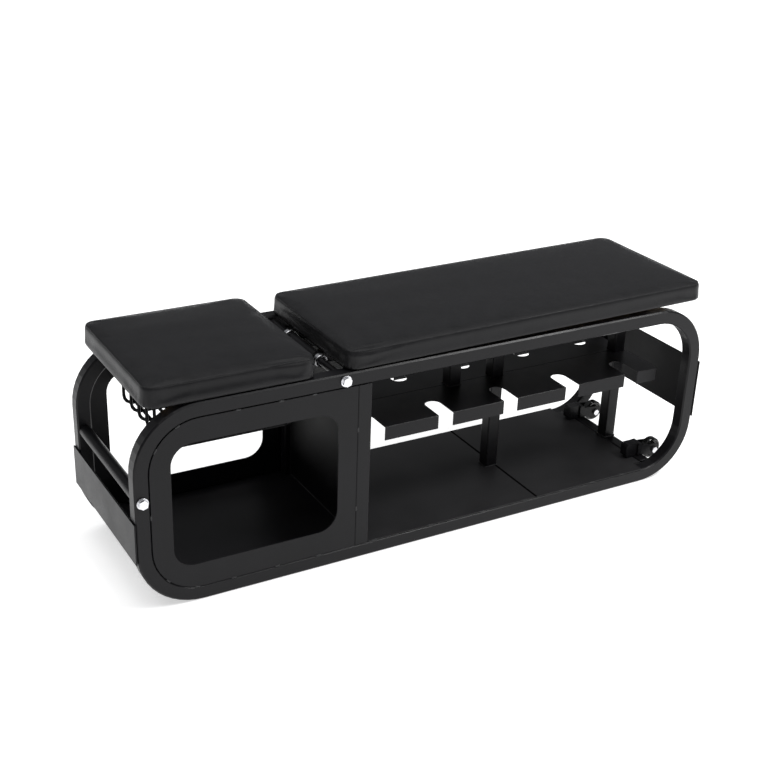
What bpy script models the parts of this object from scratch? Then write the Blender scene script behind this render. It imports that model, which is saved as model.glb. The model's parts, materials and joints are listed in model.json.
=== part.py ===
"""Adjustable storage weight bench.

Two closed loops of bent square tube carry everything. The left third is an open cubby with a wire
basket under the seat, the rest is a slotted dumbbell shelf over a sheet floor. The backrest and the
seat both turn on one cross shaft, and a prop under the backrest stands in a toothed rack.
X runs along the bench with the seat at -X, Y across it, Z up, metres.
"""
import bmesh
import bpy
import math
from mathutils import Vector
from mathutils.geometry import tessellate_polygon

# ---------------------------------------------------------------- driving dimensions
LENGTH = 1.340            # side frame, outside
WIDTH = 0.360             # over the two side frames
HEIGHT = 0.420            # side frame, outside
TUBE = 0.030              # square tube of the side frames, uprights and posts
CORNER_R = 0.130          # outside radius of the bent corners
TUBE_EDGE = 0.003         # rounding of the tube's own edges
GAP = 0.0003              # space left between touching pieces
SHEET = 0.002             # floor and partition sheet
PANEL = 0.003             # cubby panels and end plates

UPRIGHT_X = (-0.2110, -0.1810)
WINDOW_X = (-0.598, -0.253)
WINDOW_Z = (0.082, 0.3415)
WINDOW_R = 0.042
SEAM = 0.0004             # visible joint round the cubby panels

HANDLE_Z = 0.240
HANDLE_R = 0.0125
LEFT_PLATE_Z = (0.111, 0.197)
RIGHT_PLATE_Z = (0.141, 0.278)

SHAFT_X = -0.240
SHAFT_Z = HEIGHT - TUBE / 2
SHAFT_R = 0.008
COLLAR_Y = 0.070
BOLT_R = 0.005

SHELF_TOP = 0.257
SHELF_Y = 0.127
SHELF_X = (-0.1795, 0.593)
SHELF_LIP = 0.031
SHELF_SHEET = 0.0025
SLOT_PITCH = 0.164
SLOT_FIRST = -0.136
SLOT_COUNT = 5
SLOT_W = 0.0365
SLOT_END = 0.056

POST_1_X = 0.217
POST_2_X = 0.559
STUB_X = 0.104
FLOOR_SEAM_X = 0.2435
CROSSBAR_X = (0.559, 0.589)
CROSSBAR_TOP = 0.034

PROP_ARM = 0.330          # shaft to prop pivot, and prop pivot to foot rod
PROP_BAR = 0.005
PROP_Y = 0.0185           # inner face of each prop arm
FOOT_R = 0.006
RACK_Z = (0.335, 0.3985)
RACK_ANGLES = (15, 25, 35, 45, 55)

PAD_BOTTOM = 0.4205
PAD_HALF = 0.180
SEAT_X = (-0.644, -0.300)
SEAT_THICK = 0.0500
BACK_X = (-0.242, 0.650)
BACK_THICK = 0.0467
BACK_RISE = 0.0115        # rise of the back pad per metre of length towards its free end
PAD_CORNER = 0.030
PAD_EDGE = 0.013
BOARD = 0.0095
BOARD_INSET = 0.016
RAIL_Z = (0.3885, 0.4135)

BASKET_X = (-0.585, -0.315)
BASKET_HALF = 0.120
BASKET_TOP = 0.3818
BASKET_LOW = 0.3020
BASKET_BEND = 0.0200
WIRE_R = 0.0034

WHEEL_X = 0.617
WHEEL_Z = 0.042
WHEEL_R = 0.025
WHEEL_W = 0.020
CASTER_Y = 0.1125


# ---------------------------------------------------------------- materials
def material(name, color, rough, metal):
    mat = bpy.data.materials.new(name)
    mat.use_nodes = True
    shader = mat.node_tree.nodes["Principled BSDF"]
    shader.inputs["Base Color"].default_value = (*color, 1.0)
    shader.inputs["Roughness"].default_value = rough
    shader.inputs["Metallic"].default_value = metal
    return mat


def frame_coat(name):
    return material(name, (0.018, 0.018, 0.019), 0.42, 0.25)


def sheet_coat(name):
    return material(name, (0.014, 0.014, 0.015), 0.50, 0.20)


def leatherette(name):
    return material(name, (0.012, 0.012, 0.013), 0.48, 0.0)


def plywood(name):
    return material(name, (0.33, 0.22, 0.12), 0.80, 0.0)


def zinc(name):
    return material(name, (0.62, 0.63, 0.65), 0.28, 1.0)


def rubber(name):
    return material(name, (0.010, 0.010, 0.010), 0.30, 0.0)


# ---------------------------------------------------------------- mesh helpers
def finish(name, verts, faces, mat, smooth=False):
    mesh = bpy.data.meshes.new(name)
    mesh.from_pydata([tuple(v) for v in verts], [], faces)
    mesh.validate()
    obj = bpy.data.objects.new(name, mesh)
    bpy.context.scene.collection.objects.link(obj)
    dress(obj, mat, smooth)
    return obj


def dress(obj, mat, smooth):
    obj.data.materials.clear()
    obj.data.materials.append(mat(obj.name))
    if smooth:
        obj.data.shade_smooth()
        obj.data.set_sharp_from_angle(angle=math.radians(34))


def place(axis, a, b, along):
    """A point from two in-plane values and one along the extrusion axis."""
    if axis == "X":
        return (along, a, b)
    if axis == "Y":
        return (a, along, b)
    return (a, b, along)


def extrude(name, axis, loops, lo, hi, mat, smooth=False):
    """A prism with holes: loops[0] is the outline, the others are holes, each a list of pairs."""
    flat = [Vector((p[0], p[1], 0)) for loop in loops for p in loop]
    tris = tessellate_polygon([[Vector((p[0], p[1], 0)) for p in loop] for loop in loops])
    count = len(flat)
    verts = [place(axis, p.x, p.y, lo) for p in flat]
    verts += [place(axis, p.x, p.y, hi) for p in flat]
    faces = [tuple(t) for t in tris]
    faces += [tuple(i + count for i in reversed(t)) for t in tris]
    start = 0
    for loop in loops:
        size = len(loop)
        for i in range(size):
            j = (i + 1) % size
            faces.append((start + i, start + j, start + j + count, start + i + count))
        start += size
    obj = finish(name, verts, faces, mat, smooth)
    outward(obj)
    return obj


def outward(obj):
    bm = bmesh.new()
    bm.from_mesh(obj.data)
    bmesh.ops.recalc_face_normals(bm, faces=bm.faces)
    if bm.calc_volume(signed=True) < 0:
        bmesh.ops.reverse_faces(bm, faces=bm.faces)
    bm.to_mesh(obj.data)
    bm.free()


def rect(a0, a1, b0, b1, cut=0.0):
    """A rectangle, with chamfered corners when cut is given."""
    if cut <= 0:
        return [(a0, b0), (a1, b0), (a1, b1), (a0, b1)]
    return [(a0 + cut, b0), (a1 - cut, b0), (a1, b0 + cut), (a1, b1 - cut),
            (a1 - cut, b1), (a0 + cut, b1), (a0, b1 - cut), (a0, b0 + cut)]


def rounded(a0, a1, b0, b1, radii, steps):
    """A rectangle with its own radius at each corner: high-high, low-high, low-low, high-low."""
    corners = ((a1, b1, -1, -1, 0), (a0, b1, 1, -1, 90), (a0, b0, 1, 1, 180), (a1, b0, -1, 1, 270))
    points = []
    for (ca, cb, sa, sb, start), radius in zip(corners, radii):
        if radius <= 0:
            points.append((ca, cb))
            continue
        for k in range(steps + 1):
            turn = math.radians(start + 90 * k / steps)
            points.append((ca + sa * radius + radius * math.cos(turn),
                           cb + sb * radius + radius * math.sin(turn)))
    return points


def circle(ca, cb, radius, steps, start=0.0):
    return [(ca + radius * math.cos(start + 2 * math.pi * k / steps),
             cb + radius * math.sin(start + 2 * math.pi * k / steps)) for k in range(steps)]


def bar(name, axis, lo, hi, mat=frame_coat, cut=TUBE_EDGE):
    """A square or flat bar along one axis with its four long edges eased."""
    if axis == "X":
        outline = rect(lo[1], hi[1], lo[2], hi[2], cut)
        return extrude(name, axis, [outline], lo[0], hi[0], mat)
    if axis == "Y":
        outline = rect(lo[0], hi[0], lo[2], hi[2], cut)
        return extrude(name, axis, [outline], lo[1], hi[1], mat)
    outline = rect(lo[0], hi[0], lo[1], hi[1], cut)
    return extrude(name, axis, [outline], lo[2], hi[2], mat)


def lathe_y(name, rings, x, z, mat, steps=32):
    """A closed turned piece about the Y axis: rings are (y, radius) walked once round the section."""
    verts = []
    faces = []
    for y, radius in rings:
        verts += [(p[0], y, p[1]) for p in circle(x, z, radius, steps)]
    count = len(rings)
    for r in range(count):
        here = r * steps
        ahead = ((r + 1) % count) * steps
        for k in range(steps):
            m = (k + 1) % steps
            faces.append((here + k, here + m, ahead + m, ahead + k))
    obj = finish(name, verts, faces, mat, True)
    outward(obj)
    return obj


def rod_y(name, x, z, radius, y0, y1, mat, steps=32, ease=0.0006):
    """A solid round bar along Y with eased ends."""
    rings = [(y0, radius - ease), (y0 + ease, radius), (y1 - ease, radius), (y1, radius - ease)]
    verts = []
    faces = []
    for y, r in rings:
        verts += [(p[0], y, p[1]) for p in circle(x, z, r, steps)]
    for r in range(len(rings) - 1):
        for k in range(steps):
            m = (k + 1) % steps
            faces.append((r * steps + k, r * steps + m, (r + 1) * steps + m, (r + 1) * steps + k))
    faces.append(tuple(range(steps)))
    faces.append(tuple((len(rings) - 1) * steps + k for k in reversed(range(steps))))
    obj = finish(name, verts, faces, mat, True)
    outward(obj)
    return obj


def combine(obj, other, operation):
    """Boolean of two solids, written straight into the first one."""
    step = obj.modifiers.new("boolean", "BOOLEAN")
    step.operation = operation
    step.solver = "EXACT"
    step.object = other
    graph = bpy.context.evaluated_depsgraph_get()
    result = bpy.data.meshes.new_from_object(obj.evaluated_get(graph))
    obj.modifiers.clear()
    obj.data = result
    bpy.data.objects.remove(other)


def drill(obj, x, z, radius, y0, y1, steps=24):
    tool = rod_y("drill", x, z, radius, y0, y1, frame_coat, steps, 0.0001)
    combine(obj, tool, "DIFFERENCE")


def set_origin(obj, point):
    """Moves the object's origin without moving the piece."""
    shift = Vector(point)
    for vert in obj.data.vertices:
        vert.co -= shift
    obj.location = shift


# ---------------------------------------------------------------- side frames and cubby
def loop_path(half, low, high, radius, steps):
    return rounded(-half, half, low, high, [radius] * 4, steps)


def side_frame(name, side):
    """One closed loop of bent square tube, drilled for the handle bolt and the shaft bolt."""
    steps = 12
    section = ((0, TUBE_EDGE), (TUBE_EDGE, 0), (TUBE - TUBE_EDGE, 0), (TUBE, TUBE_EDGE),
               (TUBE, TUBE - TUBE_EDGE), (TUBE - TUBE_EDGE, TUBE), (TUBE_EDGE, TUBE),
               (0, TUBE - TUBE_EDGE))
    verts = []
    faces = []
    for inset, depth in section:
        path = loop_path(LENGTH / 2 - inset, inset, HEIGHT - inset, CORNER_R - inset, steps)
        y = side * (WIDTH / 2 - depth)
        verts += [(p[0], y, p[1]) for p in path]
    size = len(verts) // len(section)
    for r in range(len(section)):
        here = r * size
        ahead = ((r + 1) % len(section)) * size
        for k in range(size):
            m = (k + 1) % size
            faces.append((here + k, here + m, ahead + m, ahead + k))
    obj = finish(name, verts, faces, frame_coat, True)
    outward(obj)
    y_in = side * (WIDTH / 2 - TUBE - 0.002)
    y_out = side * (WIDTH / 2 + 0.002)
    for x, z in ((-LENGTH / 2 + TUBE / 2, HANDLE_Z), (SHAFT_X, SHAFT_Z)):
        drill(obj, x, z, BOLT_R + GAP, min(y_in, y_out), max(y_in, y_out))
    dress(obj, frame_coat, True)
    return obj


def upright(name, side):
    y0, y1 = sorted((side * WIDTH / 2, side * (WIDTH / 2 - TUBE)))
    low = (UPRIGHT_X[0], y0, TUBE + GAP)
    high = (UPRIGHT_X[1], y1, HEIGHT - TUBE - GAP)
    return bar(name, "Z", low, high, cut=0.0015)


def cubby_panel(name, side):
    """Flush side panel with the rounded window."""
    inner = LENGTH / 2 - TUBE - SEAM
    corner = CORNER_R - TUBE - SEAM
    low = TUBE + SEAM
    high = HEIGHT - TUBE - SEAM
    outline = rounded(-inner, UPRIGHT_X[0] - SEAM, low, high, (0, corner, corner, 0), 10)
    window = rounded(WINDOW_X[0], WINDOW_X[1], WINDOW_Z[0], WINDOW_Z[1], [WINDOW_R] * 4, 8)
    y0, y1 = sorted((side * (WIDTH / 2 - 0.0005), side * (WIDTH / 2 - 0.0005 - PANEL)))
    return extrude(name, "Y", [outline, window], y0, y1, sheet_coat)


def partition_wall():
    half = WIDTH / 2 - TUBE - GAP
    x = sum(UPRIGHT_X) / 2
    return bar("partition_wall", "Z", (x - SHEET / 2, -half, TUBE + SHEET + 2 * GAP),
               (x + SHEET / 2, half, RAIL_Z[0] - 2 * GAP), sheet_coat, 0)


def cubby_floor():
    """Bent sheet: flat on the bottom rails, then curving up inside the rounded corners."""
    radius = CORNER_R - TUBE - GAP
    centre_x = -LENGTH / 2 + CORNER_R
    centre_z = CORNER_R
    right = sum(UPRIGHT_X) / 2 - SHEET / 2 - GAP
    outer = [(right, centre_z - radius)]
    inner = [(right, centre_z - radius + SHEET)]
    for k in range(9):
        turn = math.radians(270 - 62 * k / 8)
        outer.append((centre_x + radius * math.cos(turn), centre_z + radius * math.sin(turn)))
        inner.append((centre_x + (radius - SHEET) * math.cos(turn),
                      centre_z + (radius - SHEET) * math.sin(turn)))
    half = WIDTH / 2 - PANEL - 0.0005 - 2 * GAP
    sheet = extrude("cubby_floor", "Y", [outer + inner[::-1]], -half, half, sheet_coat)
    for side in (-1, 1):
        y0, y1 = sorted((side * (WIDTH / 2 - TUBE - GAP), side * (WIDTH / 2 + 0.01)))
        tool = extrude("notch", "Z", [rect(UPRIGHT_X[0] - GAP, UPRIGHT_X[1], y0, y1)],
                       0.02, 0.05, sheet_coat)
        combine(sheet, tool, "DIFFERENCE")
    dress(sheet, sheet_coat, False)
    return sheet


def end_plate(name, side, z_range):
    x0, x1 = sorted((side * (LENGTH / 2 + GAP), side * (LENGTH / 2 + GAP + PANEL)))
    return bar(name, "X", (x0, -WIDTH / 2, z_range[0]), (x1, WIDTH / 2, z_range[1]), sheet_coat, 0)


def handle_tube():
    """Round grab tube across the seat end, bored for its two bolts."""
    half = WIDTH / 2 - TUBE - GAP
    bore = BOLT_R + GAP
    rings = ((-half, bore), (-half, HANDLE_R), (half, HANDLE_R), (half, bore))
    return lathe_y("handle_tube", rings, -LENGTH / 2 + TUBE / 2, HANDLE_Z, frame_coat)


def hex_bolt(name, x, z, side, depth):
    """Flanged hex bolt, head outside the side frame, shank running inwards."""
    face = side * (WIDTH / 2 + GAP)
    flange = side * (WIDTH / 2 + GAP + 0.0020)
    crown = side * (WIDTH / 2 + GAP + 0.0085)
    y0, y1 = sorted((face, flange))
    bolt = extrude(name, "Y", [circle(x, z, 0.0115, 24)], y0, y1, zinc)
    y0, y1 = sorted((flange - side * 0.0005, crown))
    head = extrude("head", "Y", [circle(x, z, 0.0098, 6, 0.35)], y0, y1, zinc)
    combine(bolt, head, "UNION")
    y0, y1 = sorted((face + side * 0.0005, side * (WIDTH / 2 - depth)))
    shank = extrude("shank", "Y", [circle(x, z, BOLT_R, 16)], y0, y1, zinc)
    combine(bolt, shank, "UNION")
    dress(bolt, zinc, True)
    return bolt


# ---------------------------------------------------------------- dumbbell bay
def bay_floor(name, x0, x1, tongue=0.0):
    """Floor sheet on top of the bottom rails, with a narrower tongue between them at one end."""
    half = WIDTH / 2 - 0.0005
    inside = WIDTH / 2 - TUBE - GAP
    z0 = TUBE + GAP
    outline = [(x0, -half), (x1, -half), (x1, half), (x0, half)]
    if tongue:
        outline[2:2] = [(x1, -inside), (x1 + tongue, -inside), (x1 + tongue, inside), (x1, inside)]
    return extrude(name, "Z", [outline], z0, z0 + SHEET, sheet_coat)


def rack_shelf(name, side):
    """One half of the slotted shelf: flat top, turned-down lip, five open slots, post cut-outs."""
    inner = side * 0.0004
    outer = side * SHELF_Y
    top = SHELF_TOP
    under = SHELF_TOP - SHELF_SHEET
    lip = SHELF_TOP - SHELF_LIP
    thick = side * SHELF_SHEET
    section = [(inner, under), (outer - thick, under), (outer - thick, lip), (outer, lip),
               (outer, top - 0.0012), (outer - side * 0.0012, top), (inner, top)]
    shelf = extrude(name, "X", [section], SHELF_X[0], SHELF_X[1], sheet_coat)
    for k in range(SLOT_COUNT):
        x = SLOT_FIRST + k * SLOT_PITCH
        r = SLOT_W / 2
        slot = [(x + r, side * (SHELF_Y + 0.01)), (x - r, side * (SHELF_Y + 0.01))]
        slot += [(x - r * math.cos(math.radians(18 * t)),
                  side * (SLOT_END + r - r * math.sin(math.radians(18 * t)))) for t in range(11)]
        tool = extrude("slot", "Z", [slot], lip - 0.01, top + 0.01, sheet_coat)
        combine(shelf, tool, "DIFFERENCE")
    for x in (POST_1_X, POST_2_X):
        y0, y1 = sorted((-side * 0.01, side * (TUBE / 2 + GAP)))
        tool = extrude("post_cut", "Z", [rect(x - GAP, x + TUBE + GAP, y0, y1)],
                       under - 0.01, top + 0.01, sheet_coat)
        combine(shelf, tool, "DIFFERENCE")
    dress(shelf, sheet_coat, False)
    return shelf


def post(name, x, low, high):
    half = TUBE / 2
    return bar(name, "Z", (x, -half, low), (x + TUBE, half, high), cut=0.0022)


def rack_foot_x(angle):
    return SHAFT_X + 2 * PROP_ARM * math.cos(math.radians(angle))


def incline_rack():
    """Toothed bar on the posts: a steep wall behind each seat of the foot rod, a ramp ahead of it."""
    low, high = RACK_Z
    left = STUB_X + 0.0005
    right = POST_2_X + TUBE
    top = [(right, high - 0.010), (0.450, high - 0.010), (0.444, high)]
    for angle in RACK_ANGLES:
        x = rack_foot_x(angle)
        top += [(x + FOOT_R + 0.0008, high), (x + FOOT_R + 0.0008, high - 0.006),
                (x + 0.0045, high - 0.0105), (x, high - 0.012), (x - 0.0045, high - 0.0105)]
        if angle == RACK_ANGLES[-1]:
            top += [(x - FOOT_R - 0.0008, high - 0.006), (x - FOOT_R - 0.0008, high + 0.011),
                    (left + 0.004, high + 0.011)]
        else:
            top.append((x - 0.020, high))
    outline = [(left, low)] + [(right, low)] + top + [(left, high + 0.004)]
    half = TUBE / 2
    return extrude("incline_rack", "Y", [outline], -half, half, frame_coat)


def shelf_end_angle():
    """Angle under the shelf's seat end, fixed to the partition wall."""
    x = sum(UPRIGHT_X) / 2 + SHEET / 2 + GAP
    top = SHELF_TOP - SHELF_SHEET - GAP
    outline = [(x, top - 0.028), (x + 0.003, top - 0.028), (x + 0.003, top - 0.003),
               (x + 0.042, top - 0.003), (x + 0.042, top), (x, top)]
    return extrude("shelf_end_angle", "Y", [outline], -0.050, 0.050, frame_coat)


def crossbar():
    half = WIDTH / 2 - TUBE - GAP
    low = (CROSSBAR_X[0], -half, CROSSBAR_TOP - TUBE)
    high = (CROSSBAR_X[1], half, CROSSBAR_TOP)
    return bar("caster_crossbar", "Y", low, high)


# ---------------------------------------------------------------- wire basket
def wire(name, points, closed=False, sides=6):
    """A round wire swept along points that lie in one plane of constant X, Y or Z."""
    path = [Vector(p) for p in points]
    count = len(path)
    normal = Vector((0, 0, 0))
    for i in range(1, count - 1):
        normal = (path[i] - path[i - 1]).cross(path[i + 1] - path[i])
        if normal.length > 1e-9:
            break
    if normal.length < 1e-9:
        normal = (path[1] - path[0]).orthogonal()
        if abs((path[1] - path[0]).normalized().z) < 0.5:
            normal = Vector((0, 0, 1))
    normal.normalize()
    verts = []
    faces = []
    for i in range(count):
        if closed:
            before, after = path[i] - path[i - 1], path[(i + 1) % count] - path[i]
        else:
            before = path[i] - path[max(i - 1, 0)] if i else path[1] - path[0]
            after = path[min(i + 1, count - 1)] - path[i] if i < count - 1 else before
        before, after = before.normalized(), after.normalized()
        tangent = (before + after).normalized()
        spread = 1 / max(0.5, math.cos(before.angle(after) / 2))
        side = normal.cross(tangent)
        for k in range(sides):
            turn = 2 * math.pi * (k + 0.5) / sides
            verts.append(path[i] + WIRE_R * (math.cos(turn) * normal + spread * math.sin(turn) * side))
    rings = count if closed else count - 1
    for i in range(rings):
        j = (i + 1) % count
        for k in range(sides):
            m = (k + 1) % sides
            faces.append((i * sides + k, i * sides + m, j * sides + m, j * sides + k))
    if not closed:
        faces.append(tuple(range(sides)))
        faces.append(tuple((count - 1) * sides + k for k in reversed(range(sides))))
    obj = finish(name, verts, faces, frame_coat, True)
    outward(obj)
    return obj


def u_path(a0, a1, top, low, radius):
    """A U from one rim point down, across and up again, as (a, z) pairs."""
    points = [(a0, top)]
    for k in range(5):
        turn = math.radians(180 + 90 * k / 4)
        points.append((a0 + radius + radius * math.cos(turn), low + radius + radius * math.sin(turn)))
    for k in range(5):
        turn = math.radians(270 + 90 * k / 4)
        points.append((a1 - radius + radius * math.cos(turn), low + radius + radius * math.sin(turn)))
    points.append((a1, top))
    return points


def wire_basket():
    """Rim, long hoops and cross hoops fused into one hanging basket."""
    x0, x1 = BASKET_X
    rim = rounded(x0, x1, -BASKET_HALF, BASKET_HALF, [0.012] * 4, 4)
    basket = wire("wire_basket", [(p[0], p[1], BASKET_TOP) for p in rim], closed=True)
    for k in range(6):
        y = (k - 2.5) * BASKET_HALF / 2.75
        hoop = u_path(x0 + 0.0006, x1 - 0.0006, BASKET_TOP - 0.0004, BASKET_LOW, BASKET_BEND)
        combine(basket, wire("hoop", [(a, y, z) for a, z in hoop]), "UNION")
    for k in range(6):
        x = x0 + 0.0215 + k * (x1 - x0 - 0.043) / 5
        hoop = u_path(-BASKET_HALF - 0.0005, BASKET_HALF + 0.0005, BASKET_TOP + 0.0003,
                      BASKET_LOW + 0.0037, 0.009)
        combine(basket, wire("cross", [(x, a, z) for a, z in hoop]), "UNION")
    dress(basket, frame_coat, True)
    return basket


def basket_hanger(name, x):
    """Flat strap between the side frames that the basket rim rests on."""
    half = WIDTH / 2 - TUBE - GAP
    top = BASKET_TOP - WIRE_R - GAP
    return bar(name, "Y", (x - 0.010, -half, top - 0.003), (x + 0.010, half, top), cut=0)


# ---------------------------------------------------------------- casters
def caster_bracket(name, side):
    """Narrow block on the crossbar with two fork plates, joined by a web, that hold the axle."""
    y = side * CASTER_Y
    top = 0.0670
    base = CROSSBAR_TOP + GAP
    block = extrude(name, "Y", [rect(0.5380, 0.5720, base, top, 0.004)], y - 0.0110, y + 0.0110, frame_coat)
    web = extrude("web", "Y", [rect(0.5690, 0.5830, base, top - 0.002, 0.003)], y - 0.0150, y + 0.0150,
                  frame_coat)
    combine(block, web, "UNION")
    ring = [(WHEEL_X + 0.0155 * math.cos(math.radians(a)), WHEEL_Z + 0.0155 * math.sin(math.radians(a)))
            for a in range(-100, 101, 20)]
    outline = [(0.5700, base + 0.0005), (0.5895, base + 0.0005)] + ring + [(0.5700, top - 0.006)]
    for sign in (-1, 1):
        y0, y1 = sorted((y + sign * 0.0120, y + sign * 0.0152))
        plate = extrude("fork", "Y", [outline], y0, y1, frame_coat)
        combine(block, plate, "UNION")
    drill(block, WHEEL_X, WHEEL_Z, 0.0043, y - 0.03, y + 0.03, 20)
    dress(block, frame_coat, False)
    return block


def caster_axle(name, side):
    """Axle bolt with a hex head outside and a nut inside."""
    y = side * CASTER_Y
    axle = rod_y(name, WHEEL_X, WHEEL_Z, 0.0040, y - 0.0195, y + 0.0195, zinc, 20)
    for sign in (-1, 1):
        y0, y1 = sorted((y + sign * 0.0155, y + sign * 0.0205))
        head = extrude("head", "Y", [circle(WHEEL_X, WHEEL_Z, 0.0078, 6, 0.2)], y0, y1, zinc)
        combine(axle, head, "UNION")
    dress(axle, zinc, True)
    return axle


def caster_wheel(name, side):
    """Solid wheel with a dished hub."""
    y = side * CASTER_Y
    half = WHEEL_W / 2
    r = WHEEL_R
    rings = [(-half + 0.0005, 0.0044), (-half, 0.0050), (-half, 0.0075), (-half + 0.0030, 0.0090),
             (-half + 0.0030, r - 0.0075), (-half + 0.0004, r - 0.0060), (-half + 0.0010, r - 0.0030),
             (-half + 0.0040, r), (half - 0.0040, r), (half - 0.0010, r - 0.0030),
             (half - 0.0004, r - 0.0060), (half - 0.0030, r - 0.0075), (half - 0.0030, 0.0090),
             (half, 0.0075), (half, 0.0050), (half - 0.0005, 0.0044)]
    wheel = lathe_y(name, [(y + a, b) for a, b in rings], WHEEL_X, WHEEL_Z, rubber, 36)
    set_origin(wheel, (WHEEL_X, y, WHEEL_Z))
    return wheel


# ---------------------------------------------------------------- shaft, seat and backrest
def shaft_collar(name, side):
    """Clamped ring on the shaft that keeps the hinge parts in place."""
    y = side * COLLAR_Y
    bore = SHAFT_R + GAP
    rings = [(y - 0.006, bore), (y - 0.006, 0.0125), (y - 0.005, 0.0135), (y + 0.005, 0.0135),
             (y + 0.006, 0.0125), (y + 0.006, bore)]
    return lathe_y(name, rings, SHAFT_X, SHAFT_Z, zinc)


def pivot_shaft():
    half = WIDTH / 2 - TUBE - GAP
    shaft = rod_y("pivot_shaft", SHAFT_X, SHAFT_Z, SHAFT_R, -half, half, frame_coat)
    for side in (-1, 1):
        y0, y1 = sorted((side * (half - 0.024), side * (half + 0.002)))
        drill(shaft, SHAFT_X, SHAFT_Z, BOLT_R + GAP, y0, y1, 20)
    dress(shaft, frame_coat, True)
    return shaft


def tilt(obj, rise):
    """Shears a pad piece so that its underside climbs away from the hinge end of the backrest."""
    for vert in obj.data.vertices:
        vert.co.z += rise * (vert.co.x - BACK_X[0])


def board(name, x_range, rise):
    """Plywood base let into the underside of a cushion."""
    z0 = PAD_BOTTOM
    outline = rounded(x_range[0] + BOARD_INSET, x_range[1] - BOARD_INSET,
                      -PAD_HALF + BOARD_INSET, PAD_HALF - BOARD_INSET, [PAD_CORNER - 0.012] * 4, 4)
    piece = extrude(name, "Z", [outline], z0, z0 + BOARD, plywood)
    tilt(piece, rise)
    set_origin(piece, (SHAFT_X, 0, SHAFT_Z))
    return piece


def cushion_blank(name, x_range, thick):
    """Upholstered slab with rounded corners and rolled edges."""
    x0, x1 = x_range
    high = PAD_BOTTOM + thick
    profile = [(0.004, PAD_BOTTOM), (0.0, PAD_BOTTOM + 0.004)]
    for k in range(5):
        turn = math.radians(90 * k / 4)
        profile.append((PAD_EDGE * (1 - math.cos(turn)), high - PAD_EDGE + PAD_EDGE * math.sin(turn)))
    rings = []
    for inset, z in profile:
        ring = rounded(x0 + inset, x1 - inset, -PAD_HALF + inset, PAD_HALF - inset,
                       [PAD_CORNER - inset] * 4, 6)
        rings.append([(p[0], p[1], z) for p in ring])
    size = len(rings[0])
    verts = [v for ring in rings for v in ring]
    faces = []
    for r in range(len(rings) - 1):
        for k in range(size):
            m = (k + 1) % size
            faces.append((r * size + k, r * size + m, (r + 1) * size + m, (r + 1) * size + k))
    faces.append(tuple(reversed(range(size))))
    faces.append(tuple((len(rings) - 1) * size + k for k in range(size)))
    pad = finish(name, verts, faces, leatherette)
    outward(pad)
    return pad


def cushion(name, x_range, thick, rise):
    """Cushion with a pocket below for its board; a hinged one is bevelled clear of the side frames."""
    x0, x1 = x_range
    pad = cushion_blank(name, x_range, thick)
    inset = BOARD_INSET - GAP
    pocket = rounded(x0 + inset, x1 - inset, -PAD_HALF + inset, PAD_HALF - inset,
                     [PAD_CORNER - 0.012 + GAP] * 4, 4)
    tool = extrude("pocket", "Z", [pocket], PAD_BOTTOM - 0.005, PAD_BOTTOM + BOARD + GAP, leatherette)
    combine(pad, tool, "DIFFERENCE")
    tilt(pad, rise)
    if rise:
        wedge = [(x0 - 0.010, PAD_BOTTOM - 0.010), (x0 + 0.0172, PAD_BOTTOM - 0.010),
                 (x0 - 0.010, PAD_BOTTOM + 0.0289)]
        tool = extrude("bevel", "Y", [wedge], -PAD_HALF - 0.01, PAD_HALF + 0.01, leatherette)
        combine(pad, tool, "DIFFERENCE")
    dress(pad, leatherette, True)
    set_origin(pad, (SHAFT_X, 0, SHAFT_Z))
    return pad


def hinged_bar(name, axis, lo, hi, cut):
    piece = bar(name, axis, lo, hi, frame_coat, cut)
    set_origin(piece, (SHAFT_X, 0, SHAFT_Z))
    return piece


def seat_lug(name, side):
    """Plate on the outside of a seat rail with an eye round the shaft."""
    eye = 0.0130
    outline = [(SHAFT_X + eye * math.cos(math.radians(a)), SHAFT_Z + eye * math.sin(math.radians(a)))
               for a in range(-90, 61, 15)]
    outline += [(-0.2750, RAIL_Z[1] - 0.001), (-0.3450, RAIL_Z[1] - 0.001), (-0.3450, RAIL_Z[0] + 0.001),
                (-0.2650, RAIL_Z[0] + 0.001)]
    hole = circle(SHAFT_X, SHAFT_Z, SHAFT_R + 0.0004, 32)
    y0, y1 = sorted((side * 0.0540, side * 0.0600))
    lug = extrude(name, "Y", [outline, hole], y0, y1, frame_coat)
    set_origin(lug, (SHAFT_X, 0, SHAFT_Z))
    return lug


def seat_parts():
    low, high = RAIL_Z
    for name, side in (("seat_rail_near", -1), ("seat_rail_far", 1)):
        y0, y1 = sorted((side * 0.0290, side * 0.0537))
        hinged_bar(name, "X", (-0.6050, y0, low), (-0.2620, y1, high), 0.002)
    seat_lug("seat_hinge_lug_near", -1)
    seat_lug("seat_hinge_lug_far", 1)
    for name, x in (("seat_cross_strap_left", -0.560), ("seat_cross_strap_right", -0.360)):
        hinged_bar(name, "Y", (x - 0.020, -0.135, high + GAP), (x + 0.020, 0.135, PAD_BOTTOM - GAP), 0)
    board("seat_board", SEAT_X, 0.0)
    cushion("seat_cushion", SEAT_X, SEAT_THICK, 0.0)


def back_rail(name, side):
    """Backrest spine tube, drilled for the prop pivot pin."""
    low, high = RAIL_Z
    y0, y1 = sorted((side * 0.0320, side * 0.0520))
    rail = bar(name, "X", (SHAFT_X + 0.0125, y0, low), (0.6000, y1, high), frame_coat, 0.002)
    drill(rail, SHAFT_X + PROP_ARM, SHAFT_Z, 0.0053, y0 - 0.01, y1 + 0.01, 20)
    dress(rail, frame_coat, False)
    set_origin(rail, (SHAFT_X, 0, SHAFT_Z))
    return rail


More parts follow.
